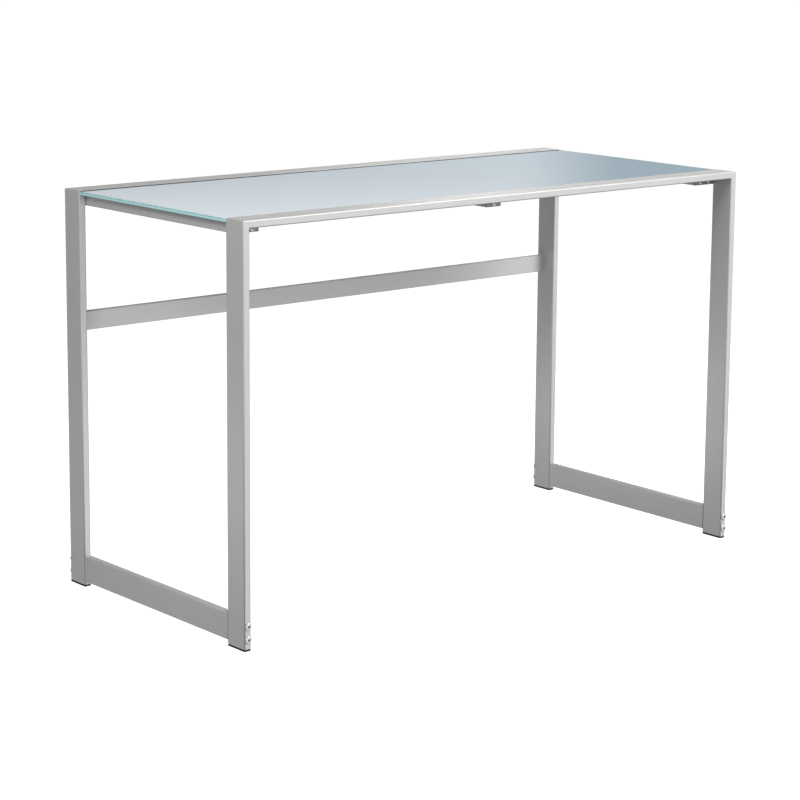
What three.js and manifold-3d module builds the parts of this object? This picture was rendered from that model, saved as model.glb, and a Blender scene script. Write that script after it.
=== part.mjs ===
// Computer desk: a tempered glass top carried between two flat-tube steel frames.
// Units are millimetres. +X runs along the desk to its right-hand end, +Y to the back, +Z up.
// The origin is on the floor, in the middle of the four feet.
import * as THREE from 'three';
import { mergeVertices } from 'three/addons/utils/BufferGeometryUtils.js';
import Module from 'manifold-3d';

const wasm = await Module();
wasm.setup();

// ---------------------------------------------------------------- driving dimensions
const WIDTH = 1220; // over the outer faces of the legs
const DEPTH = 560; // from the front frame's face to the back frame's
const HEIGHT = 755; // floor to the top of the rails
const GAP = 0.3; // clearance wherever two pieces meet
const SEAT_GAP = 0.1; // the same where something soft rests on glass

// flat rectangular steel tube: legs, top rails and side rails
const TUBE = { deep: 50, thick: 14, wall: 1.5, corner: 2 };
const MITRE_GAP = 0.2; // how far each mitred end stands back from the mitre plane

// low rails that join the front frame to the back one, near the floor
const SIDE_RAIL_UNDERSIDE = 10;
const END_PLATE = 3; // plate welded into each end of a bolted tube

// bars under the glass, running from the front rail to the back one
const CROSSBAR = { tall: 20, wide: 53, middleWide: 36, wall: 1.5, corner: 2 };
const CROSSBAR_INSET = 1; // between an end crossbar and the legs beside it
const BRACKET = { plate: 2.5, reach: 32 }; // angle bracket welded under a top rail

// stretcher across the back, between the rear legs
const STRETCHER = { deep: 13, tall: 36, wall: 1.5, corner: 1.5 };
const STRETCHER_UNDERSIDE = 486;
const STRETCHER_SETBACK = 5; // from the rear legs' back face
const STRETCHER_END = 9; // length of the end block left in sight
const TONGUE = 28; // how far the end block reaches into the stretcher
const TONGUE_PLAY = 0.35;

// glass top, and the black rubber strips pressed into the groove between its arris and the rails
const GLASS = { thick: 6, corner: 3, arris: 1, recess: 1.5, endInset: 0.5, sideGap: 0.8 };
const SEAL = { proud: 1, endInset: 3 };
const PAD = { radius: 6, thick: 0.8, inset: 60 }; // clear pads between glass and crossbars

// plastic cap in the bottom of each leg
const FOOT = { sole: 3.4, plug: 9, overlap: 1 };

// button-head socket screws
const FRAME_BOLT = { head: 6.5, headTall: 3.3, shank: 3, length: 62, socket: 2.3, socketDeep: 1.8 };
const FRAME_BOLT_HEIGHTS = { lower: 21, upper: 45 };
const CROSSBAR_BOLT = { head: 5, headTall: 2.8, shank: 3, length: 12, socket: 2, socketDeep: 1.6 };
const CROSSBAR_BOLT_DROP = 22.5; // bolt centre below the top of the rail
const CROSSBAR_BOLT_SPREAD = 24;
const STRETCHER_SCREW = { head: 5, headTall: 2.8, shank: 3, length: 10, socket: 2, socketDeep: 1.6 };
const STRETCHER_SCREW_SPREAD = 18;
const HEAD_RIM = 0.35; // height of a screw head's rim, as a share of the head's
const HEAD_CROWN = 0.55; // radius of the flat on top of a head, as a share of the head's
const DRILL_OVERRUN = 10; // how far a drill passes beyond what it drills
const INNER_CORNER = 0.5; // smallest corner inside a tube and on what plugs it
const ROUND_SEGMENTS = 16;
const CORNER_SEGMENTS = 3;

// ---------------------------------------------------------------- derived places
const LEG_X = (WIDTH - TUBE.thick) / 2; // middle of a leg, from the centre of the desk
const LEG_Y = (DEPTH - TUBE.deep) / 2;
const LEG_INSIDE_X = WIDTH / 2 - TUBE.thick;
const RAIL_EDGE_Y = DEPTH / 2 - TUBE.deep; // inner edge of a top rail
const GLASS_UNDERSIDE = HEIGHT - GLASS.recess - GLASS.thick;
const CROSSBAR_TOP = GLASS_UNDERSIDE - PAD.thick - 2 * SEAT_GAP;
const CROSSBAR_MIDDLE_Z = CROSSBAR_TOP - CROSSBAR.tall / 2;
const CROSSBAR_X = LEG_INSIDE_X - CROSSBAR_INSET - CROSSBAR.wide / 2;
const BOLT_CLEARANCE = FRAME_BOLT.shank + GAP; // radius of every bolt hole

// ---------------------------------------------------------------- materials
const material = (color, roughness, metalness) => (
  new THREE.MeshStandardMaterial({ color, roughness, metalness })
);
const MATERIALS = {
  silverPaint: material(0xc4c6c8, 0.42, 0.55),
  zinc: material(0xd8dadc, 0.25, 1),
  blackPlastic: material(0x151515, 0.55, 0),
  blackRubber: material(0x1b1c1d, 0.8, 0),
  paleGlass: material(0xc6d4db, 0.08, 0),
  clearPad: material(0xdfe5e6, 0.4, 0),
};

// ---------------------------------------------------------------- solids
const Y_AXIS = new THREE.Vector3(0, 1, 0);
const Z_AXIS = new THREE.Vector3(0, 0, 1);
const X_AXIS = new THREE.Vector3(1, 0, 0);
// A length is built along local z. These turn it to run along X or along Y.
const ALONG_X = new THREE.Matrix4().makeBasis(Y_AXIS, Z_AXIS, X_AXIS); // section is Y wide, Z tall
const ALONG_Y = new THREE.Matrix4().makeBasis(Z_AXIS, X_AXIS, Y_AXIS); // section is Z wide, X tall

function toSolid(geometry) {
  const bare = geometry.clone();
  bare.deleteAttribute('normal');
  bare.deleteAttribute('uv');
  const merged = mergeVertices(bare);
  return new wasm.Manifold(new wasm.Mesh({
    numProp: 3,
    vertProperties: new Float32Array(merged.getAttribute('position').array),
    triVerts: new Uint32Array(merged.getIndex().array),
  }));
}

function toGeometry(solid) {
  const { vertProperties, triVerts } = solid.getMesh();
  const geometry = new THREE.BufferGeometry();
  geometry.setAttribute('position', new THREE.BufferAttribute(new Float32Array(vertProperties), 3));
  geometry.setIndex(new THREE.BufferAttribute(new Uint32Array(triVerts), 1));
  geometry.computeVertexNormals();
  return geometry;
}

function drill(geometry, cutters) {
  const solid = cutters.reduce((left, cutter) => left.subtract(toSolid(cutter)), toSolid(geometry));
  return toGeometry(solid);
}

function join(...geometries) {
  const [first, ...others] = geometries.map(toSolid);
  return toGeometry(others.reduce((whole, other) => whole.add(other), first));
}

function roundedRectangle(path, width, height, radius) {
  const x = width / 2 - radius;
  const y = height / 2 - radius;
  path.moveTo(-x, -height / 2);
  path.lineTo(x, -height / 2);
  path.absarc(x, -y, radius, -Math.PI / 2, 0);
  path.lineTo(width / 2, y);
  path.absarc(x, y, radius, 0, Math.PI / 2);
  path.lineTo(-x, height / 2);
  path.absarc(-x, y, radius, Math.PI / 2, Math.PI);
  path.lineTo(-width / 2, -y);
  path.absarc(-x, -y, radius, Math.PI, Math.PI * 1.5);
  return path;
}

// A bar of rounded rectangular section, between two ends that are heights over the section:
// start(u, v) and end(u, v). A square end is a constant and a mitred end is a slope.
function barGeometry({ width, height, corner, wall }, start, end) {
  const shape = roundedRectangle(new THREE.Shape(), width, height, corner);
  if (wall) {
    const inner = Math.max(corner - wall, INNER_CORNER);
    const hollow = roundedRectangle(new THREE.Path(), width - 2 * wall, height - 2 * wall, inner);
    shape.holes.push(hollow);
  }
  const geometry = new THREE.ExtrudeGeometry(shape, {
    depth: 1, bevelEnabled: false, curveSegments: CORNER_SEGMENTS,
  });
  const position = geometry.getAttribute('position');
  for (let i = 0; i < position.count; i += 1) {
    const place = position.getZ(i) < 0.5 ? start : end;
    position.setZ(i, place(position.getX(i), position.getY(i)));
  }
  geometry.computeVertexNormals();
  return geometry;
}

function straightBar(section, length) {
  return barGeometry(section, () => -length / 2, () => length / 2);
}

function holeAlongY(x, y, z, length) {
  const hole = new THREE.CylinderGeometry(BOLT_CLEARANCE, BOLT_CLEARANCE, length, ROUND_SEGMENTS);
  return hole.translate(x, y, z);
}

// A tube along Y, closed by a welded plate at each end, with bolt holes through the plates.
function platedTube(section, length, holes) {
  const plates = [-1, 1].map((end) => (
    straightBar({ ...section, wall: 0 }, END_PLATE).translate(0, 0, end * (length - END_PLATE) / 2)
  ));
  const closed = join(straightBar(section, length), ...plates).applyMatrix4(ALONG_Y);
  const cutters = holes.flatMap(({ x, z }) => [-1, 1].map((end) => (
    holeAlongY(x, end * length / 2, z, END_PLATE + DRILL_OVERRUN)
  )));
  return drill(closed, cutters);
}

// A button-head screw on local y: the head is above y = 0, and the shank goes down.
function screwGeometry({ head, headTall, shank, length, socket, socketDeep }) {
  const outline = [
    [0, -length], [shank, -length], [shank, 0],
    [head, 0], [head, headTall * HEAD_RIM], [head * HEAD_CROWN, headTall], [0, headTall],
  ].map(([radius, y]) => new THREE.Vector2(radius, y));
  const body = new THREE.LatheGeometry(outline, ROUND_SEGMENTS);
  const key = new THREE.CylinderGeometry(socket, socket, socketDeep * 2, 6).translate(0, headTall, 0);
  return drill(body, [key]);
}

// ---------------------------------------------------------------- assembly
const desk = new THREE.Group();

function addPiece(name, geometry, pieceMaterial, x, y, z) {
  const mesh = new THREE.Mesh(geometry, pieceMaterial);
  mesh.name = name;
  mesh.position.set(x, y, z);
  desk.add(mesh);
  return mesh;
}

// A screw whose head faces the front (facing -1) or the back (facing +1).
function addScrew(name, screw, facing, x, y, z) {
  const mesh = addPiece(name, screwGeometry(screw), MATERIALS.zinc, x, y, z);
  if (facing < 0) mesh.rotation.x = Math.PI;
}

const SIDES = [['left', -1], ['right', 1]];
const ENDS = [['front', -1], ['rear', 1]];
const FLAT_TUBE = { width: TUBE.thick, height: TUBE.deep, corner: TUBE.corner, wall: TUBE.wall };
const UPRIGHT_TUBE = { ...FLAT_TUBE, width: TUBE.deep, height: TUBE.thick };

function addLeg(endName, end, sideName, side) {
  // The mitre falls one for one from the outer face to the inner one.
  const top = (u) => HEIGHT - (TUBE.thick / 2 - side * u) - MITRE_GAP;
  const tube = barGeometry(FLAT_TUBE, () => FOOT.sole + GAP, top);
  const holes = Object.values(FRAME_BOLT_HEIGHTS).map((z) => holeAlongY(0, 0, z, TUBE.deep + DRILL_OVERRUN));
  const leg = drill(tube, holes);
  addPiece(`${endName}_${sideName}_leg`, leg, MATERIALS.silverPaint, side * LEG_X, end * LEG_Y, 0);
}

function addFoot(endName, end, sideName, side) {
  const sole = straightBar({ ...FLAT_TUBE, wall: 0 }, FOOT.sole).translate(0, 0, FOOT.sole / 2);
  const smaller = 2 * (TUBE.wall + GAP);
  const plugSection = {
    width: TUBE.thick - smaller, height: TUBE.deep - smaller, corner: INNER_CORNER, wall: 0,
  };
  const plug = straightBar(plugSection, FOOT.plug + FOOT.overlap);
  plug.translate(0, 0, FOOT.sole + FOOT.plug / 2);
  const foot = join(sole, plug);
  addPiece(`${endName}_${sideName}_foot`, foot, MATERIALS.blackPlastic, side * LEG_X, end * LEG_Y, 0);
}

function addTopRail(endName, end) {
  const reach = (v) => WIDTH / 2 - (TUBE.thick / 2 - v) - MITRE_GAP;
  const rail = barGeometry(UPRIGHT_TUBE, (u, v) => -reach(v), (u, v) => reach(v));
  const z = HEIGHT - TUBE.thick / 2;
  addPiece(`${endName}_top_rail`, rail.applyMatrix4(ALONG_X), MATERIALS.silverPaint, 0, end * LEG_Y, z);
}

function addSideRail(sideName, side) {
  const middleZ = SIDE_RAIL_UNDERSIDE + TUBE.deep / 2;
  const holes = Object.values(FRAME_BOLT_HEIGHTS).map((z) => ({ x: 0, z: z - middleZ }));
  const rail = platedTube(UPRIGHT_TUBE, 2 * (RAIL_EDGE_Y - GAP), holes);
  addPiece(`${sideName}_side_rail`, rail, MATERIALS.silverPaint, side * LEG_X, 0, middleZ);
}

function addFrameBolts(endName, end, sideName, side) {
  Object.entries(FRAME_BOLT_HEIGHTS).forEach(([level, z]) => {
    const name = `${endName}_${sideName}_frame_bolt_${level}`;
    addScrew(name, FRAME_BOLT, end, side * LEG_X, end * (DEPTH / 2 + GAP), z);
  });
}

function addCrossbar(name, x, wide, boltPlaces) {
  const section = { width: CROSSBAR.tall, height: wide, corner: CROSSBAR.corner, wall: CROSSBAR.wall };
  const boltZ = HEIGHT - CROSSBAR_BOLT_DROP;
  const holes = boltPlaces.map(([, offset]) => ({ x: offset, z: boltZ - CROSSBAR_MIDDLE_Z }));
  const bar = platedTube(section, 2 * (RAIL_EDGE_Y - GAP), holes);
  addPiece(`${name}_crossbar`, bar, MATERIALS.silverPaint, x, 0, CROSSBAR_MIDDLE_Z);

  ENDS.forEach(([endName, end]) => {
    // Angle bracket: one flange up against the rail, one down in front of the bar's end.
    const flangeTop = HEIGHT - TUBE.thick - GAP;
    const tall = flangeTop - (CROSSBAR_MIDDLE_Z - CROSSBAR.tall / 2);
    const outline = new THREE.Shape();
    outline.moveTo(0, 0);
    outline.lineTo(0, -tall);
    outline.lineTo(BRACKET.plate, -tall);
    outline.lineTo(BRACKET.plate, -BRACKET.plate);
    outline.lineTo(BRACKET.reach, -BRACKET.plate);
    outline.lineTo(BRACKET.reach, 0);
    const angle = new THREE.ExtrudeGeometry(outline, { depth: wide, bevelEnabled: false });
    angle.translate(0, 0, -wide / 2).applyMatrix4(ALONG_X);
    if (end < 0) angle.rotateZ(Math.PI);
    const boltHoles = boltPlaces.map(([, offset]) => (
      holeAlongY(offset, 0, boltZ - flangeTop, BRACKET.plate + DRILL_OVERRUN)
    ));
    const bracket = drill(angle, boltHoles);
    const y = end * RAIL_EDGE_Y;
    addPiece(`${endName}_${name}_bracket`, bracket, MATERIALS.silverPaint, x, y, flangeTop);

    boltPlaces.forEach(([placeName, offset]) => {
      const headY = end * (RAIL_EDGE_Y + BRACKET.plate + GAP);
      addScrew(`${endName}_${name}_bracket_bolt${placeName}`, CROSSBAR_BOLT, end, x + offset, headY, boltZ);
    });

    const padY = end * (RAIL_EDGE_Y - PAD.inset);
    const pad = new THREE.CylinderGeometry(PAD.radius, PAD.radius, PAD.thick, ROUND_SEGMENTS);
    pad.rotateX(Math.PI / 2);
    const padZ = (CROSSBAR_TOP + GLASS_UNDERSIDE) / 2;
    addPiece(`${endName}_${name}_glass_pad`, pad, MATERIALS.clearPad, x, padY, padZ);
  });
}

function addStretcher() {
  const section = {
    width: STRETCHER.deep, height: STRETCHER.tall, corner: STRETCHER.corner, wall: STRETCHER.wall,
  };
  const middleY = DEPTH / 2 - STRETCHER_SETBACK - STRETCHER.deep / 2;
  const middleZ = STRETCHER_UNDERSIDE + STRETCHER.tall / 2;
  const backFace = STRETCHER.deep / 2;
  const endX = LEG_INSIDE_X - STRETCHER_END;
  const screwX = endX - TONGUE / 2;
  const screwHeights = { lower: -STRETCHER_SCREW_SPREAD / 2, upper: STRETCHER_SCREW_SPREAD / 2 };

  const tube = straightBar(section, 2 * (endX - GAP)).applyMatrix4(ALONG_X);
  const tubeHoles = SIDES.flatMap(([, side]) => Object.values(screwHeights).map((z) => (
    holeAlongY(side * screwX, backFace, z, STRETCHER.deep)
  )));
  const bar = drill(tube, tubeHoles);
  addPiece('back_stretcher', bar, MATERIALS.silverPaint, 0, middleY, middleZ);

  SIDES.forEach(([sideName, side]) => {
    const blockLength = STRETCHER_END - GAP;
    const block = straightBar({ ...section, wall: 0 }, blockLength);
    block.translate(0, 0, side * (LEG_INSIDE_X - GAP - blockLength / 2));
    const smaller = 2 * (STRETCHER.wall + TONGUE_PLAY);
    const tongueSection = {
      width: STRETCHER.deep - smaller, height: STRETCHER.tall - smaller, corner: INNER_CORNER, wall: 0,
    };
    const tongueLength = TONGUE + blockLength / 2;
    const tongue = straightBar(tongueSection, tongueLength);
    tongue.translate(0, 0, side * (endX - TONGUE + tongueLength / 2));
    const whole = join(block, tongue).applyMatrix4(ALONG_X);
    const holes = Object.values(screwHeights).map((z) => (
      holeAlongY(side * screwX, 0, z, STRETCHER.deep + DRILL_OVERRUN)
    ));
    const bracket = drill(whole, holes);
    addPiece(`stretcher_end_${sideName}`, bracket, MATERIALS.silverPaint, 0, middleY, middleZ);

    Object.entries(screwHeights).forEach(([level, z]) => {
      const headY = middleY + backFace + GAP;
      const name = `stretcher_screw_${sideName}_${level}`;
      addScrew(name, STRETCHER_SCREW, 1, side * screwX, headY, middleZ + z);
    });
  });
}

function addGlass() {
  const width = WIDTH - 2 * GLASS.endInset;
  const depth = 2 * (RAIL_EDGE_Y - GLASS.sideGap);
  const { arris, corner } = GLASS;
  const outline = new THREE.Shape();
  roundedRectangle(outline, width - 2 * arris, depth - 2 * arris, corner - arris);
  const pane = new THREE.ExtrudeGeometry(outline, {
    depth: GLASS.thick - 2 * arris,
    bevelThickness: arris,
    bevelSize: arris,
    bevelSegments: 1,
    curveSegments: CORNER_SEGMENTS,
  });
  addPiece('glass_top', pane, MATERIALS.paleGlass, 0, 0, GLASS_UNDERSIDE + arris);

  // Section of a strip, out from the edge of the glass's flat face. Its underside follows the arris down
  // into the groove.
  const groove = arris + GLASS.sideGap - SEAT_GAP;
  const low = 2 * SEAT_GAP - arris;
  const section = new THREE.Shape();
  section.moveTo(SEAT_GAP, SEAT_GAP);
  section.lineTo(arris, low);
  section.lineTo(groove, low);
  section.lineTo(groove, SEAL.proud);
  section.lineTo(SEAT_GAP, SEAL.proud);
  const sealLength = width - 2 * SEAL.endInset;
  const sealY = depth / 2 - arris;
  const sealZ = GLASS_UNDERSIDE + GLASS.thick;
  ENDS.forEach(([endName, end]) => {
    const seal = new THREE.ExtrudeGeometry(section, { depth: sealLength, bevelEnabled: false });
    seal.translate(0, 0, -sealLength / 2).applyMatrix4(ALONG_X);
    if (end < 0) seal.rotateZ(Math.PI);
    addPiece(`${endName}_glass_seal`, seal, MATERIALS.blackRubber, 0, end * sealY, sealZ);
  });
}

ENDS.forEach(([endName, end]) => {
  addTopRail(endName, end);
  SIDES.forEach(([sideName, side]) => {
    addLeg(endName, end, sideName, side);
    addFoot(endName, end, sideName, side);
    addFrameBolts(endName, end, sideName, side);
  });
});
SIDES.forEach(([sideName, side]) => {
  addSideRail(sideName, side);
  const outward = side * CROSSBAR_BOLT_SPREAD / 2;
  const bolts = [['_inner', -outward], ['_outer', outward]];
  addCrossbar(sideName, side * CROSSBAR_X, CROSSBAR.wide, bolts);
});
addCrossbar('middle', 0, CROSSBAR.middleWide, [['', 0]]);
addStretcher();
addGlass();

export default desk;
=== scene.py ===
"""Looks for a computer desk: a pale glass top held level between two frames of flat steel tube.

Everything is in metres, in the desk's own frame: +X to its right-hand end, +Y to the back, +Z up, with the
origin on the floor in the middle of the four feet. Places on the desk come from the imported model's boxes.
"""
from math import cos, pi, radians, sin

import bmesh
import bpy
from mathutils import Matrix, Vector


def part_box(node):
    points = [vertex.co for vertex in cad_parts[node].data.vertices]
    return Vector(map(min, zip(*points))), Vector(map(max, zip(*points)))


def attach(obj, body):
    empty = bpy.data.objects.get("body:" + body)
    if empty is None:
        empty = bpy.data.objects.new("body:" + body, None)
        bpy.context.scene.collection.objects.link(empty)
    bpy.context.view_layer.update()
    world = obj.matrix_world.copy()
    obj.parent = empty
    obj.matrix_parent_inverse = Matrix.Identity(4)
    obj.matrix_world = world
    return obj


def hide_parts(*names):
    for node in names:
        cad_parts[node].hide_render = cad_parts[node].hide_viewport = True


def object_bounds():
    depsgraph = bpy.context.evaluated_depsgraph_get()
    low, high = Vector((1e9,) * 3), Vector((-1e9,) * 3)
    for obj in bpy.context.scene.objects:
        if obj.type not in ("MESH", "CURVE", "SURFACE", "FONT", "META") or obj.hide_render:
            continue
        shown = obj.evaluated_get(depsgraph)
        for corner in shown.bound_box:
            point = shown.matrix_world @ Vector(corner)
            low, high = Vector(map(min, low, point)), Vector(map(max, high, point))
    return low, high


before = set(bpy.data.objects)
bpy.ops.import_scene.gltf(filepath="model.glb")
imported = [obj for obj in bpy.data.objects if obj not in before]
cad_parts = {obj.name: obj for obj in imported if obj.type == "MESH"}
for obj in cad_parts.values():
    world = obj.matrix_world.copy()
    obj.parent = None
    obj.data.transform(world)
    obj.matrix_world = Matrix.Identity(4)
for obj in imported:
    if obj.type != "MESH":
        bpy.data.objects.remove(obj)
cad_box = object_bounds()

MM = 0.001
X, Y, Z = 0, 1, 2
SIDES = {"left": -1, "right": 1}
ENDS = {"front": -1, "rear": 1}
CROSSBARS = ("left", "middle", "right")

# ------------------------------------------------------------------ sizes of the finish
GAP = 0.3 * MM  # clearance where two pieces meet
TUBE_CORNER = 2.0 * MM  # outside corner of the rolled flat tube
SHOULDER = 3.0 * MM  # outside corner where a mitre is welded and ground
STRETCHER_CORNER = 1.5 * MM
DEBURR = 0.35 * MM  # sawn tube ends, broken with a file before coating
BRACKET_PLATE = 2.5 * MM
BRACKET_BEND = 1.2 * MM  # inside radius of the folded angle
WELD_THROAT = 1.3 * MM
WELD_RIPPLE = 1.6 * MM  # distance between two ripples of a bead
RIPPLE_SHAPE = ((0.1, 0.90), (0.5, 1.0), (0.9, 0.90))  # how far along a ripple, how full the bead is there

GLASS_CORNER = 3.0 * MM
GLASS_ARRIS = 1.0 * MM  # ground edge of the pane
SEAL_CORNER = 0.45 * MM
SEAL_CLEAR = 0.1 * MM  # how far a strip stands off the pane
PAD_ROUND = 0.25 * MM

SOLE_RIM = 2.2 * MM  # flat rim round the recess under a leg cap
SOLE_RECESS = 0.8 * MM
SOLE_SLOPE = 0.3 * MM  # how far the recess narrows on its way up
PLUG_WALL = 1.8 * MM  # from the outside of the leg to the cap's plug
PLUG_OVERLAP = 0.5 * MM  # how far the plug reaches into the sole
PLUG_CORNER = 0.6 * MM

# a button-head screw; the head's heights are shares of its radius
SCREW_SHANK = 3.0 * MM
SHANK_CHAMFER = 0.8 * MM
SHANK_POINT = 0.7  # radius of the shank's end, as a share of the shank's
HEAD_TALL = 0.53
HEAD_RIM = 0.22
HEAD_UNDERSIDE = 0.97  # radius under the head, as a share of the head's
HEAD_BREAK = 0.1 * MM  # sharp edge taken off under the head
SOCKET_FLAT = 1.35  # radius of the flat round the socket, as a share of the socket's
SOCKET_DEEP = 0.6  # as a share of the head's height
FRAME_SOCKET = 2.3 * MM  # hexagon, centre to corner
SMALL_SOCKET = 2.0 * MM
DOME_STEPS = 6
SHARP_ANGLE = 32  # degrees, over which an edge of a screw stays sharp

CORNER_STEPS = 5
ARRIS_STEPS = 3
SMALL_STEPS = 2
SCREW_STEPS = 28
WELD_STEPS = 16
PAD_STEPS = 32
SAME_PLACE = 0.001 * MM  # two places nearer than this are one
MERGE_WITHIN = 0.0001 * MM

# ------------------------------------------------------------------ camera and studio
# The camera stands in front of the desk's left end.
CAMERA_PLACE = (-3.003, -3.551, 1.313)
CAMERA_TURN = 39.94  # degrees from +Y towards +X
CAMERA_TILT = 10.16  # degrees below the horizon
CAMERA_ROLL = 0.45
CAMERA_LENS = 109.2
CAMERA_SHIFT = -0.1
VIEW_END = 100.0

FLOOR_RADIUS = 45.0
FLOOR_GLOW = 0.88  # the floor shines by itself, like a light table
STUDIO_STRENGTH = 1.4
# degrees above the floor line, and the tone there
STUDIO_TONES = (
    (-90, "787878"), (-6, "787878"), (5.2, "7C8488"), (6.7, "AEB4B8"), (8.4, "FFFFFF"),
    (10, "FFFFFF"), (14, "9C9C9C"), (18, "848484"), (28, "686868"),
)
DARK_WALL_TURN = 43.4  # degrees from +Y towards +X
DARK_WALL_TONE = "98A8B0"
DARK_WALL_EDGE = (-0.015, 0.035)  # sines between which the wall darkens
DARK_WALL_TOP = (0.3, 0.2)  # sines of the heights where it starts and is full
FRONT_FILL = 0.68
FRONT_FILL_FROM = (0.22, -0.91, -0.35)  # the middle of the fill, low in front of the desk
FRONT_FILL_SPREAD = (0.3, 0.95)  # cosines from its middle, from none to full
SOFTBOXES = (  # name, place, what it faces, width, height, watts
    ("key_softbox", (2.5, -3.4, 3.1), (0, 0, 0.4), 2.0, 2.0, 170),
    ("overhead_strip", (0.8, -0.4, 1.75), (0.7, -0.25, 0.75), 2.4, 0.3, 10),
    ("left_softbox", (-1.7, -0.6, 1.6), (-0.6, -0.25, 0.4), 0.5, 0.5, 14),
    ("left_card", (-1.2, 0.1, 0.12), (-0.6, 0.1, 0.06), 1.0, 0.2, 0.9),
    ("right_card", (0.1, 0.4, 0.1), (0.6, 0.24, 0.1), 0.4, 0.2, 0.7),
    ("rear_softbox", (0.55, 0.45, 1.4), (0.55, 0.25, 0.5), 0.3, 0.3, 3),
)


# ------------------------------------------------------------------ materials
def linear(code):
    """Turn an sRGB hex colour such as 'C4C6C8' into linear red, green, blue and alpha."""
    channels = [int(code[i:i + 2], 16) / 255 for i in (0, 2, 4)]
    return [c / 12.92 if c <= 0.04045 else ((c + 0.055) / 1.055) ** 2.4 for c in channels] + [1.0]


def add(tree, kind, inputs=None, **settings):
    """Add one node. inputs gives each socket a value, or another node's output to link from."""
    made = tree.nodes.new(kind)
    for name, value in settings.items():
        setattr(made, name, value)
    for name, value in (inputs or {}).items():
        if isinstance(value, bpy.types.NodeSocket):
            tree.links.new(value, made.inputs[name])
        else:
            made.inputs[name].default_value = value
    return made


def blend(tree, factor, first, second, how="MIX"):
    """Mix two colours, and give the output that carries the result."""
    # On a colour mix the two colours are inputs 6 and 7, and the result is output 2.
    made = add(tree, "ShaderNodeMix", {"Factor": factor, 6: first, 7: second},
               data_type="RGBA", blend_type=how)
    return made.outputs[2]


def start_material(name):
    """A new material's tree, its shader and the object coordinates that its patterns read."""
    material = bpy.data.materials.new(name)
    material.use_nodes = True
    tree = material.node_tree
    shader = tree.nodes["Principled BSDF"]
    place = tree.nodes.new("ShaderNodeTexCoord").outputs["Object"]
    return material, tree, shader, place


def make_powder_coat(name, thin, thick):
    """Steel, blasted and coated with metallic polyester powder: even, satin, a little orange peel."""
    material, tree, shader, place = start_material(name)
    # Orange peel is about 1.5 mm from crest to crest, drawn at 4 mm so that it shows.
    peel = add(tree, "ShaderNodeTexNoise", {"Vector": place, "Scale": 1 / (4 * MM), "Detail": 2.0})
    # Flakes of aluminium in the powder, drawn at 1.2 mm where the real ones are under 0.1 mm.
    flakes = add(tree, "ShaderNodeTexVoronoi", {"Vector": place, "Scale": 1 / (1.2 * MM)})
    # The coat is a touch thicker here and there over a hand's breadth.
    cloud = add(tree, "ShaderNodeTexNoise", {"Vector": place, "Scale": 1 / (90 * MM), "Detail": 3.0})
    base = blend(tree, cloud.outputs["Fac"], linear(thin), linear(thick))
    speck = blend(tree, 0.10, base, flakes.outputs["Color"], "SOFT_LIGHT")
    rough = add(tree, "ShaderNodeMapRange", {"Value": peel.outputs["Fac"], "To Min": 0.40, "To Max": 0.50})
    bump = add(tree, "ShaderNodeBump",
               {"Height": peel.outputs["Fac"], "Strength": 0.10, "Distance": 0.05 * MM})
    tree.links.new(speck, shader.inputs["Base Color"])
    tree.links.new(rough.outputs["Result"], shader.inputs["Roughness"])
    tree.links.new(bump.outputs["Normal"], shader.inputs["Normal"])
    shader.inputs["Metallic"].default_value = 0.35
    return material


def make_zinc_plate():
    """Machine screws, bright zinc plated: pale grey metal with a faint blue cast and a fine grain."""
    material, tree, shader, place = start_material("bright_zinc_plate")
    # Grain of the plating, about 0.3 mm.
    grain = add(tree, "ShaderNodeTexNoise", {"Vector": place, "Scale": 1 / (0.3 * MM), "Detail": 3.0})
    base = blend(tree, grain.outputs["Fac"], linear("CBCED1"), linear("DADBDB"))
    rough = add(tree, "ShaderNodeMapRange", {"Value": grain.outputs["Fac"], "To Min": 0.28, "To Max": 0.42})
    tree.links.new(base, shader.inputs["Base Color"])
    tree.links.new(rough.outputs["Result"], shader.inputs["Roughness"])
    shader.inputs["Metallic"].default_value = 1.0
    return material


def make_black_polythene():
    """Leg caps, injection-moulded black polythene with a fine spark-eroded grain."""
    material, tree, shader, place = start_material("black_moulded_polythene")
    # The tool's grain is about 0.4 mm, drawn at 0.8 mm.
    grain = add(tree, "ShaderNodeTexNoise", {"Vector": place, "Scale": 1 / (0.8 * MM), "Detail": 2.0})
    scuff = add(tree, "ShaderNodeTexNoise", {"Vector": place, "Scale": 1 / (12 * MM), "Detail": 4.0})
    base = blend(tree, scuff.outputs["Fac"], linear("070708"), linear("0F0F10"))
    rough = add(tree, "ShaderNodeMapRange", {"Value": scuff.outputs["Fac"], "To Min": 0.6, "To Max": 0.75})
    bump = add(tree, "ShaderNodeBump",
               {"Height": grain.outputs["Fac"], "Strength": 0.25, "Distance": 0.05 * MM})
    tree.links.new(base, shader.inputs["Base Color"])
    tree.links.new(rough.outputs["Result"], shader.inputs["Roughness"])
    tree.links.new(bump.outputs["Normal"], shader.inputs["Normal"])
    return material


def make_black_rubber():
    """Strips between glass and rails, extruded black rubber: dead matt, with draw lines along X."""
    material, tree, shader, place = start_material("black_extruded_rubber")
    stretched = add(tree, "ShaderNodeMapping", {"Vector": place, "Scale": (0.02, 1.0, 1.0)})
    lines = add(tree, "ShaderNodeTexNoise", {"Vector": stretched.outputs[0], "Scale": 1 / (0.5 * MM)})
    base = blend(tree, lines.outputs["Fac"], linear("1A1B1D"), linear("2A2B2D"))
    rough = add(tree, "ShaderNodeMapRange", {"Value": lines.outputs["Fac"], "To Min": 0.7, "To Max": 0.9})
    tree.links.new(base, shader.inputs["Base Color"])
    tree.links.new(rough.outputs["Result"], shader.inputs["Roughness"])
    return material


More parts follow.
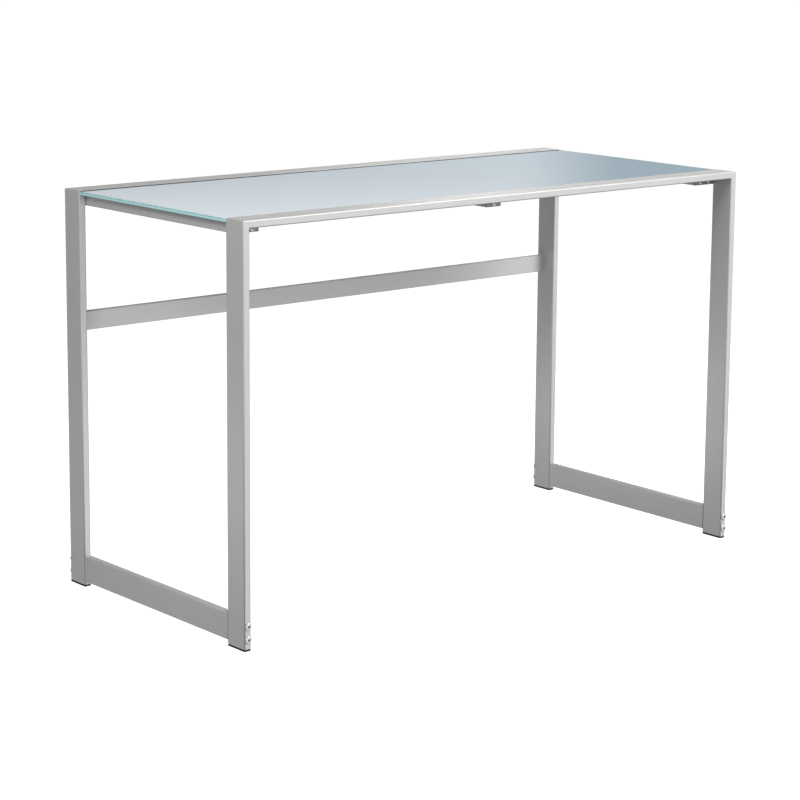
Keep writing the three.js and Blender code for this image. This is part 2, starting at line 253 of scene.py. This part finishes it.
def make_clear_silicone():
    """Bumpers under the glass, cast clear silicone that looks milky in this thickness."""
    material, tree, shader, place = start_material("clear_cast_silicone")
    haze = add(tree, "ShaderNodeTexNoise", {"Vector": place, "Scale": 1 / (3 * MM), "Detail": 2.0})
    base = blend(tree, haze.outputs["Fac"], linear("D2DADB"), linear("E6EBEB"))
    tree.links.new(base, shader.inputs["Base Color"])
    shader.inputs["Roughness"].default_value = 0.3
    shader.inputs["IOR"].default_value = 1.41
    return material


def make_glass_face():
    """Tempered float glass, coated on its underside in pale blue-grey: still, glossy and faintly cloudy."""
    material, tree, shader, place = start_material("coated_float_glass")
    # The coat under the glass drifts in tone over about 400 mm, and has a fine 5 mm haze.
    drift = add(tree, "ShaderNodeTexNoise", {"Vector": place, "Scale": 1 / (400 * MM), "Detail": 2.0})
    haze = add(tree, "ShaderNodeTexNoise", {"Vector": place, "Scale": 1 / (5 * MM), "Detail": 3.0})
    base = blend(tree, drift.outputs["Fac"], linear("97A6B0"), linear("A1AFB8"))
    rough = add(tree, "ShaderNodeMapRange", {"Value": haze.outputs["Fac"], "To Min": 0.08, "To Max": 0.12})
    # Roller wave: tempering leaves long, shallow swells about 250 mm apart.
    swell = add(tree, "ShaderNodeTexNoise", {"Vector": place, "Scale": 1 / (250 * MM), "Detail": 0.0})
    bump = add(tree, "ShaderNodeBump",
               {"Height": swell.outputs["Fac"], "Strength": 0.3, "Distance": 0.1 * MM})
    tree.links.new(base, shader.inputs["Base Color"])
    tree.links.new(rough.outputs["Result"], shader.inputs["Roughness"])
    tree.links.new(bump.outputs["Normal"], shader.inputs["Normal"])
    shader.inputs["IOR"].default_value = 1.52
    return material


def make_glass_edge(low, high):
    """The pane's ground and polished edge in the glass's own green-blue, with painted light on it: deepest
    near the top, paler towards the bottom.
    """
    material, tree, shader, place = start_material("polished_glass_edge")
    height = add(tree, "ShaderNodeSeparateXYZ", {"Vector": place}).outputs["Z"]
    level = add(tree, "ShaderNodeMapRange", {"Value": height, "From Min": low.z, "From Max": high.z})
    streak = add(tree, "ShaderNodeTexNoise", {"Vector": place, "Scale": 1 / (8 * MM), "Detail": 2.0})
    edge_tint_and_light = add(tree, "ShaderNodeValToRGB", {"Fac": level.outputs["Result"]})
    # Painted light: the edge is pale at the bottom and a deep green-blue at the top.
    stops = [(0.0, "BFE6EA"), (0.45, "A9DCE0"), (0.75, "6FA9AD"), (1.0, "5E999C")]
    ramp = edge_tint_and_light.color_ramp
    while len(ramp.elements) < len(stops):
        ramp.elements.new(0.5)
    for stop, (place_on_ramp, code) in zip(ramp.elements, stops):
        stop.position = place_on_ramp
        stop.color = linear(code)
    base = blend(tree, streak.outputs["Fac"], edge_tint_and_light.outputs["Color"], linear("B9E2E4"))
    tree.links.new(base, shader.inputs["Base Color"])
    shader.inputs["Roughness"].default_value = 0.12
    shader.inputs["IOR"].default_value = 1.52
    return material


# ------------------------------------------------------------------ making pieces
def keep(name, bm, materials, slot, *nodes):
    """Finish a bmesh as one piece that rides on the desk and stands for the CAD nodes given."""
    mesh = bpy.data.meshes.new(name)
    bmesh.ops.recalc_face_normals(bm, faces=bm.faces)
    bm.to_mesh(mesh)
    bm.free()
    for material in materials:
        mesh.materials.append(material)
    piece = bpy.data.objects.new(name, mesh)
    bpy.context.scene.collection.objects.link(piece)
    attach(piece, "root")
    if nodes:
        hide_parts(*nodes)
    return piece


def block(low, high):
    """A plain block that fills the box from low to high, ready to be bevelled."""
    bm = bmesh.new()
    bmesh.ops.create_cube(bm, size=1.0)
    bmesh.ops.scale(bm, vec=high - low, verts=bm.verts)
    bmesh.ops.translate(bm, vec=(low + high) / 2, verts=bm.verts)
    return bm


def round_edges(bm, edges, radius, steps):
    """Round edges, leaving the rounding smooth and the faces beside it flat."""
    made = bmesh.ops.bevel(bm, geom=edges, offset=radius, segments=steps, profile=0.5, affect="EDGES",
                           material=-1)
    for face in made["faces"]:
        face.smooth = True


def edges_along(bm, axis):
    """The edges of a block that run along one axis."""
    return [e for e in bm.edges if abs((e.verts[1].co - e.verts[0].co).normalized()[axis]) > 0.99]


def lies_at(edge, axis, place):
    """Whether both ends of an edge have the value place on one axis."""
    return all(abs(v.co[axis] - place) < SAME_PLACE for v in edge.verts)


def tube(low, high, axis, corner):
    """A length of flat tube with rolled corners, along one axis of its box."""
    bm = block(low, high)
    round_edges(bm, edges_along(bm, axis), corner, CORNER_STEPS)
    return bm


def break_ends(bm, axis):
    """Take the sharp edge off both sawn ends of a tube that was made along one axis."""
    lowest = min(v.co[axis] for v in bm.verts)
    highest = max(v.co[axis] for v in bm.verts)
    for place in (lowest, highest):
        rim = [e for e in bm.edges if lies_at(e, axis, place)]
        round_edges(bm, rim, DEBURR, SMALL_STEPS)


def part_off(bm, place, normal):
    """Saw a closed shape through place and throw away the side that the normal points to."""
    cut = bmesh.ops.bisect_plane(bm, geom=list(bm.verts) + list(bm.edges) + list(bm.faces), plane_co=place,
                                 plane_no=normal, clear_outer=True, dist=MERGE_WITHIN)
    rim = [g for g in cut["geom_cut"] if isinstance(g, bmesh.types.BMEdge) and g.is_boundary]
    if rim:
        bmesh.ops.holes_fill(bm, edges=rim, sides=0)


def make_frame(end, coat):
    """One frame: two uprights and the rail across their tops, welded at the mitres and ground smooth.

    The whole outline is made in one and then parted at the two mitres, so that the roundings meet.
    """
    low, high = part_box(f"{end}_left_leg")
    right = cad_box[1].x
    thick = high.x - low.x
    top = cad_box[1].z
    outline = [(-right, low.z), (-right, top), (right, top), (right, low.z), (right - thick, low.z),
               (right - thick, top - thick), (thick - right, top - thick), (thick - right, low.z)]
    whole = bmesh.new()
    face = whole.faces.new([whole.verts.new((x, low.y, z)) for x, z in outline])
    made = bmesh.ops.extrude_face_region(whole, geom=[face])["geom"]
    moved = [g for g in made if isinstance(g, bmesh.types.BMVert)]
    bmesh.ops.translate(whole, vec=(0, high.y - low.y, 0), verts=moved)
    bmesh.ops.recalc_face_normals(whole, faces=whole.faces)
    shoulders = [e for e in edges_along(whole, Y) if lies_at(e, Z, top)]
    round_edges(whole, shoulders, SHOULDER, CORNER_STEPS)
    long_edges = [e for e in whole.edges if lies_at(e, Y, e.verts[0].co.y) and not lies_at(e, Z, low.z)]
    round_edges(whole, long_edges, TUBE_CORNER, CORNER_STEPS)

    corners = {side: Vector((sign * right, 0, top)) for side, sign in SIDES.items()}
    for side, sign in SIDES.items():
        leg = whole.copy()
        # The normal points across the mitre, out of the upright and into the rail.
        part_off(leg, corners[side], Vector((-sign, 0, 1)))
        part_off(leg, Vector(), Vector((-sign, 0, 0)))
        keep(f"{end}_{side}_leg_tube", leg, [coat], "frame_steel", f"{end}_{side}_leg")
    rail = whole
    for side, sign in SIDES.items():
        part_off(rail, corners[side], Vector((sign, 0, -1)))
    keep(f"{end}_top_rail_tube", rail, [coat], "frame_steel", f"{end}_top_rail")


def make_square_tube(node, axis, corner, coat):
    """A rail or bar whose ends are sawn square."""
    low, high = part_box(node)
    bm = tube(low, high, axis, corner)
    break_ends(bm, axis)
    keep(f"{node}_tube", bm, [coat], "frame_steel", node)


def turned(outline, steps):
    """A body turned about Z, from an outline of (radius, height) pairs."""
    bm = bmesh.new()
    verts = [bm.verts.new((radius, 0, height)) for radius, height in outline]
    edges = [bm.edges.new(pair) for pair in zip(verts, verts[1:])]
    bmesh.ops.spin(bm, geom=verts + edges, cent=(0, 0, 0), axis=(0, 0, 1), angle=2 * pi, steps=steps,
                   use_merge=True)
    bmesh.ops.remove_doubles(bm, verts=bm.verts, dist=MERGE_WITHIN)
    for face in bm.faces:
        face.smooth = True
    return bm


def make_weld(name, start, end, coat):
    """A bead laid along an inside corner from start to end, with the ripples the arc leaves."""
    along = end - start
    ripples = max(3, round(along.length / WELD_RIPPLE))
    outline = [(0, 0)]
    for ripple in range(ripples):
        for share, swell in RIPPLE_SHAPE:
            outline.append((WELD_THROAT * swell, along.length * (ripple + share) / ripples))
    outline.append((0, along.length))
    bm = turned(outline, WELD_STEPS)
    turn = Vector((0, 0, 1)).rotation_difference(along).to_matrix().to_4x4()
    bmesh.ops.transform(bm, matrix=Matrix.Translation(start) @ turn, verts=bm.verts)
    keep(name, bm, [coat], "frame_steel")


def make_bracket(end, bar, coat):
    """A folded steel angle: one flange under the rail, one down in front of the crossbar's end."""
    node = f"{end}_{bar}_bracket"
    low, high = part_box(node)
    away = ENDS[end]
    upright = low.y if away > 0 else high.y  # the face that lies against the crossbar
    reach = high.y if away > 0 else low.y
    bm = bmesh.new()
    bend = ((low.x, upright, low.z), (low.x, upright, high.z), (low.x, reach, high.z))
    path = [bm.verts.new(point) for point in bend]
    for first, second in zip(path, path[1:]):
        bm.edges.new((first, second))
    bmesh.ops.bevel(bm, geom=[path[1]], offset=BRACKET_PLATE + BRACKET_BEND, segments=CORNER_STEPS,
                    profile=0.5, affect="VERTICES", material=-1)
    swept = bmesh.ops.extrude_edge_only(bm, edges=bm.edges)["geom"]
    far = [g for g in swept if isinstance(g, bmesh.types.BMVert)]
    bmesh.ops.translate(bm, vec=(high.x - low.x, 0, 0), verts=far)
    bmesh.ops.recalc_face_normals(bm, faces=bm.faces)
    inward = Vector((0, away, -1))
    flip = sum(f.normal.dot(inward) for f in bm.faces) < 0
    bmesh.ops.solidify(bm, geom=bm.faces, thickness=BRACKET_PLATE if flip else -BRACKET_PLATE)
    keep(f"{node}_angle", bm, [coat], "frame_steel", node)


def make_screw(node, facing, socket, zinc):
    """A button-head socket screw along Y: turned dome, flat under the head, a pressed hexagon to drive it."""
    low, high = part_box(node)
    radius = (high.x - low.x) / 2
    centre = (low + high) / 2
    top = high.y if facing > 0 else low.y
    length = high.y - low.y
    tall = radius * HEAD_TALL
    rim = radius * HEAD_RIM
    outline = [(0, -length), (SCREW_SHANK * SHANK_POINT, -length), (SCREW_SHANK, SHANK_CHAMFER - length),
               (SCREW_SHANK, -tall), (radius * HEAD_UNDERSIDE, -tall), (radius, HEAD_BREAK - tall),
               (radius, rim - tall)]
    # the dome, from the rim up to the flat around the socket
    flat = socket * SOCKET_FLAT
    dome = [(flat + (radius - flat) * cos(a), rim - tall + (tall - rim) * sin(a))
            for a in (pi / 2 * i / DOME_STEPS for i in range(1, DOME_STEPS + 1))]
    bm = turned(outline + dome, SCREW_STEPS)
    mouth = [e for e in bm.edges if e.is_boundary]
    hexagon = bmesh.ops.create_circle(bm, segments=6, radius=socket)["verts"]
    hexagon_edges = list({e for v in hexagon for e in v.link_edges})
    bmesh.ops.bridge_loops(bm, edges=mouth + hexagon_edges)
    sunk = bmesh.ops.extrude_edge_only(bm, edges=hexagon_edges)["geom"]
    floor_verts = [g for g in sunk if isinstance(g, bmesh.types.BMVert)]
    bmesh.ops.translate(bm, vec=(0, 0, -SOCKET_DEEP * tall), verts=floor_verts)
    floor_edges = [g for g in sunk if isinstance(g, bmesh.types.BMEdge) and g.is_boundary]
    bmesh.ops.contextual_create(bm, geom=floor_edges)
    turn = Matrix.Rotation(-facing * pi / 2, 4, "X")
    bmesh.ops.transform(bm, matrix=Matrix.Translation((centre.x, top, centre.z)) @ turn, verts=bm.verts)
    for face in bm.faces:
        face.smooth = True
    piece = keep(f"{node}_screw", bm, [zinc], "bolt_zinc", node)
    piece.data.set_sharp_from_angle(angle=radians(SHARP_ANGLE))


def make_foot(end, side, plastic):
    """A moulded cap pressed into the leg: a sole with a recess under it, and the plug above."""
    node = f"{end}_{side}_foot"
    low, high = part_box(node)
    leg_low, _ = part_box(f"{end}_{side}_leg")
    sole_top = leg_low.z - GAP
    bm = block(low, Vector((high.x, high.y, sole_top)))
    round_edges(bm, edges_along(bm, Z), TUBE_CORNER, CORNER_STEPS)
    under = next(f for f in bm.faces if f.normal.z < -0.99)
    bmesh.ops.inset_region(bm, faces=[under], thickness=SOLE_RIM, depth=0.0)
    bmesh.ops.inset_region(bm, faces=[under], thickness=SOLE_SLOPE, depth=-SOLE_RECESS)
    plug_low = Vector((low.x + PLUG_WALL, low.y + PLUG_WALL, sole_top - PLUG_OVERLAP))
    plug_high = Vector((high.x - PLUG_WALL, high.y - PLUG_WALL, high.z))
    keep(f"{node}_sole", bm, [plastic], "foot_plastic", node)
    plug = block(plug_low, plug_high)
    round_edges(plug, edges_along(plug, Z), PLUG_CORNER, SMALL_STEPS)
    keep(f"{node}_plug", plug, [plastic], "foot_plastic", node)


def make_glass(face_material, edge_material):
    """The pane: rounded corners, a ground arris all round, its edge in a finish of its own."""
    low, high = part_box("glass_top")
    bm = block(low, high)
    round_edges(bm, edges_along(bm, Z), GLASS_CORNER, CORNER_STEPS)
    for level in (low.z, high.z):
        rim = [e for e in bm.edges if lies_at(e, Z, level)]
        round_edges(bm, rim, GLASS_ARRIS, ARRIS_STEPS)
    bmesh.ops.recalc_face_normals(bm, faces=bm.faces)
    for face in bm.faces:
        face.material_index = 0 if abs(face.normal.z) > 0.99 else 1
    keep("glass_top_pane", bm, [face_material, edge_material], "desk_glass", "glass_top")


def make_seal(end, rubber):
    """A rubber strip pressed into the groove between the pane's arris and the rail, rounded on top."""
    node = f"{end}_glass_seal"
    low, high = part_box(node)
    pane_side = low.y if ENDS[end] > 0 else high.y
    bm = block(low, high)
    over_arris = [e for e in edges_along(bm, X) if lies_at(e, Y, pane_side) and lies_at(e, Z, low.z)]
    bmesh.ops.bevel(bm, geom=over_arris, offset=GLASS_ARRIS - SEAL_CLEAR, segments=1, profile=0.5,
                    affect="EDGES", material=-1)
    upper = [e for e in edges_along(bm, X) if lies_at(e, Z, high.z)]
    round_edges(bm, upper, SEAL_CORNER, CORNER_STEPS)
    keep(f"{node}_strip", bm, [rubber], "seal_rubber", node)


def make_pad(end, bar, silicone):
    """A cast bumper between a crossbar and the glass."""
    node = f"{end}_{bar}_glass_pad"
    low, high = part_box(node)
    bm = bmesh.new()
    radius = (high.x - low.x) / 2
    bmesh.ops.create_cone(bm, cap_ends=True, segments=PAD_STEPS, radius1=radius, radius2=radius,
                          depth=high.z - low.z)
    bmesh.ops.translate(bm, vec=(low + high) / 2, verts=bm.verts)
    rims = [e for e in bm.edges if lies_at(e, Z, e.verts[0].co.z)]
    round_edges(bm, rims, PAD_ROUND, ARRIS_STEPS)
    keep(f"{node}_bumper", bm, [silicone], "clear_pad", node)


def make_stretcher_end(side, coat):
    """The block welded to a rear leg that the stretcher slides over, and its tongue."""
    node = f"stretcher_end_{side}"
    low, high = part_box(node)
    bar_low, bar_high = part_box("back_stretcher")
    if side == "left":
        block_low, block_high = low, Vector((bar_low.x - GAP, high.y, high.z))
    else:
        block_low, block_high = Vector((bar_high.x + GAP, low.y, low.z)), high
    bm = tube(block_low, block_high, X, STRETCHER_CORNER)
    break_ends(bm, X)
    keep(f"{node}_block", bm, [coat], "frame_steel", node)
    leg_face = low.x if side == "left" else high.x
    front, back, bottom, top = low.y, high.y, low.z, high.z
    corner = STRETCHER_CORNER
    seams = {
        "front": ((leg_face, front, bottom + corner), (leg_face, front, top - corner)),
        "top": ((leg_face, front + corner, top), (leg_face, back - corner, top)),
        "bottom": ((leg_face, front + corner, bottom), (leg_face, back - corner, bottom)),
    }
    for seam, (start, finish) in seams.items():
        make_weld(f"{node}_weld_{seam}", Vector(start), Vector(finish), coat)


# ------------------------------------------------------------------ studio
def make_floor():
    """A plain pale floor that runs on past the edge of every view."""
    material, tree, shader, place = start_material("studio_floor")
    grain = add(tree, "ShaderNodeTexNoise", {"Vector": place, "Scale": 2.0, "Detail": 2.0})
    base = blend(tree, grain.outputs["Fac"], linear("BABABA"), linear("BCBCBC"))
    tree.links.new(base, shader.inputs["Base Color"])
    shader.inputs["Roughness"].default_value = 0.9
    shader.inputs["Specular IOR Level"].default_value = 0.0
    shader.inputs["Emission Color"].default_value = linear("FFFFFF")
    shader.inputs["Emission Strength"].default_value = FLOOR_GLOW
    bm = bmesh.new()
    bmesh.ops.create_circle(bm, cap_ends=True, segments=96, radius=FLOOR_RADIUS)
    mesh = bpy.data.meshes.new("studio_floor")
    bm.to_mesh(mesh)
    bm.free()
    mesh.materials.append(material)
    floor = bpy.data.objects.new("studio_floor", mesh)
    bpy.context.scene.collection.objects.link(floor)
    floor.visible_diffuse = False  # the desk neither takes light from the floor nor mirrors it
    floor.visible_glossy = False


def make_softbox(name, place, target, width, height, power):
    """A rectangular soft light at place, turned to face target."""
    light = bpy.data.lights.new(name, "AREA")
    light.shape = "RECTANGLE"
    light.size, light.size_y = width, height
    light.energy = power
    lamp = bpy.data.objects.new(name, light)
    lamp.location = place
    lamp.rotation_euler = (Vector(target) - Vector(place)).to_track_quat("-Z", "Y").to_euler()
    lamp.visible_camera = False
    bpy.context.scene.collection.objects.link(lamp)


def make_sky():
    """The studio round the desk: dim all over, with one lit band low on the walls, one darker wall that
    starts beyond the desk's right-hand end, and a broad fill from low in front."""
    world = bpy.data.worlds.new("studio")
    bpy.context.scene.world = world
    world.use_nodes = True
    tree = world.node_tree
    tree.nodes.clear()
    place = add(tree, "ShaderNodeTexCoord").outputs["Generated"]
    rise = add(tree, "ShaderNodeSeparateXYZ", {"Vector": place}).outputs["Z"]
    height = add(tree, "ShaderNodeMapRange", {"Value": rise, "From Min": -1.0, "From Max": 1.0})
    tone = add(tree, "ShaderNodeValToRGB", {"Fac": height.outputs["Result"]})
    tone.color_ramp.interpolation = "EASE"
    while len(tone.color_ramp.elements) < len(STUDIO_TONES):
        tone.color_ramp.elements.new(0.5)
    for stop, (degrees, code) in zip(tone.color_ramp.elements, STUDIO_TONES):
        stop.position = (sin(radians(degrees)) + 1) / 2
        stop.color = linear(code)
    turn = radians(DARK_WALL_TURN)
    wall_starts, wall_full = DARK_WALL_EDGE
    top_starts, top_full = DARK_WALL_TOP
    fill_starts, fill_full = FRONT_FILL_SPREAD
    across = add(tree, "ShaderNodeVectorMath", {0: place, 1: (cos(turn), -sin(turn), 0)},
                 operation="DOT_PRODUCT").outputs["Value"]
    beyond = add(tree, "ShaderNodeMapRange",
                 {"Value": across, "From Min": wall_starts, "From Max": wall_full},
                 interpolation_type="SMOOTHSTEP")
    under = add(tree, "ShaderNodeMapRange", {"Value": rise, "From Min": top_starts, "From Max": top_full})
    dark = add(tree, "ShaderNodeMath", {0: beyond.outputs["Result"], 1: under.outputs["Result"]},
               operation="MULTIPLY")
    shade = blend(tree, dark.outputs[0], linear("FFFFFF"), linear(DARK_WALL_TONE))
    walls = blend(tree, 1.0, tone.outputs["Color"], shade, "MULTIPLY")
    ahead = add(tree, "ShaderNodeVectorMath", {0: place, 1: FRONT_FILL_FROM},
                operation="DOT_PRODUCT").outputs["Value"]
    fill = add(tree, "ShaderNodeMapRange",
               {"Value": ahead, "From Min": fill_starts, "From Max": fill_full, "To Max": FRONT_FILL},
               interpolation_type="SMOOTHSTEP")
    lit = blend(tree, 1.0, walls, fill.outputs["Result"], "ADD")
    glow = add(tree, "ShaderNodeBackground", {"Color": lit, "Strength": STUDIO_STRENGTH})
    add(tree, "ShaderNodeOutputWorld", {"Surface": glow.outputs["Background"]})


def make_camera():
    """The main camera. Its tilt is below the horizon and its turn is from +Y towards +X."""
    data = bpy.data.cameras.new("desk_camera")
    data.lens = CAMERA_LENS
    data.shift_y = CAMERA_SHIFT
    data.clip_end = VIEW_END
    camera = bpy.data.objects.new("desk_camera", data)
    turn = (Matrix.Rotation(radians(-CAMERA_TURN), 4, "Z")
            @ Matrix.Rotation(radians(90 - CAMERA_TILT), 4, "X")
            @ Matrix.Rotation(radians(CAMERA_ROLL), 4, "Z"))
    camera.matrix_world = Matrix.Translation(CAMERA_PLACE) @ turn
    bpy.context.scene.collection.objects.link(camera)
    bpy.context.scene.camera = camera


# ------------------------------------------------------------------ the desk
coat = make_powder_coat("silver_powder_coat", "BCBBB9", "C3C2C0")
# The brackets get the silver coat in darker tones: painted shade, for the shade they sit in under the rails.
shaded_bracket_coat = make_powder_coat("silver_coat_painted_shade", "86888A", "8E9092")
zinc = make_zinc_plate()
plastic = make_black_polythene()
rubber = make_black_rubber()
silicone = make_clear_silicone()
glass_face = make_glass_face()
glass_edge = make_glass_edge(*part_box("glass_top"))

for end, facing in ENDS.items():
    make_frame(end, coat)
    make_seal(end, rubber)
    for side in SIDES:
        make_foot(end, side, plastic)
        for level in ("lower", "upper"):
            make_screw(f"{end}_{side}_frame_bolt_{level}", facing, FRAME_SOCKET, zinc)
    for bar in CROSSBARS:
        make_bracket(end, bar, shaded_bracket_coat)
        make_pad(end, bar, silicone)
        for place in ("",) if bar == "middle" else ("_inner", "_outer"):
            make_screw(f"{end}_{bar}_bracket_bolt{place}", facing, SMALL_SOCKET, zinc)
for side in SIDES:
    make_square_tube(f"{side}_side_rail", Y, TUBE_CORNER, coat)
    make_stretcher_end(side, coat)
    for level in ("lower", "upper"):
        make_screw(f"stretcher_screw_{side}_{level}", ENDS["rear"], SMALL_SOCKET, zinc)
for bar in CROSSBARS:
    make_square_tube(f"{bar}_crossbar", Y, TUBE_CORNER, coat)
make_square_tube("back_stretcher", X, STRETCHER_CORNER, coat)
make_glass(glass_face, glass_edge)

make_floor()
make_sky()
for softbox in SOFTBOXES:
    make_softbox(*softbox)
make_camera()

scene = bpy.context.scene
scene.view_settings.view_transform = "Standard"
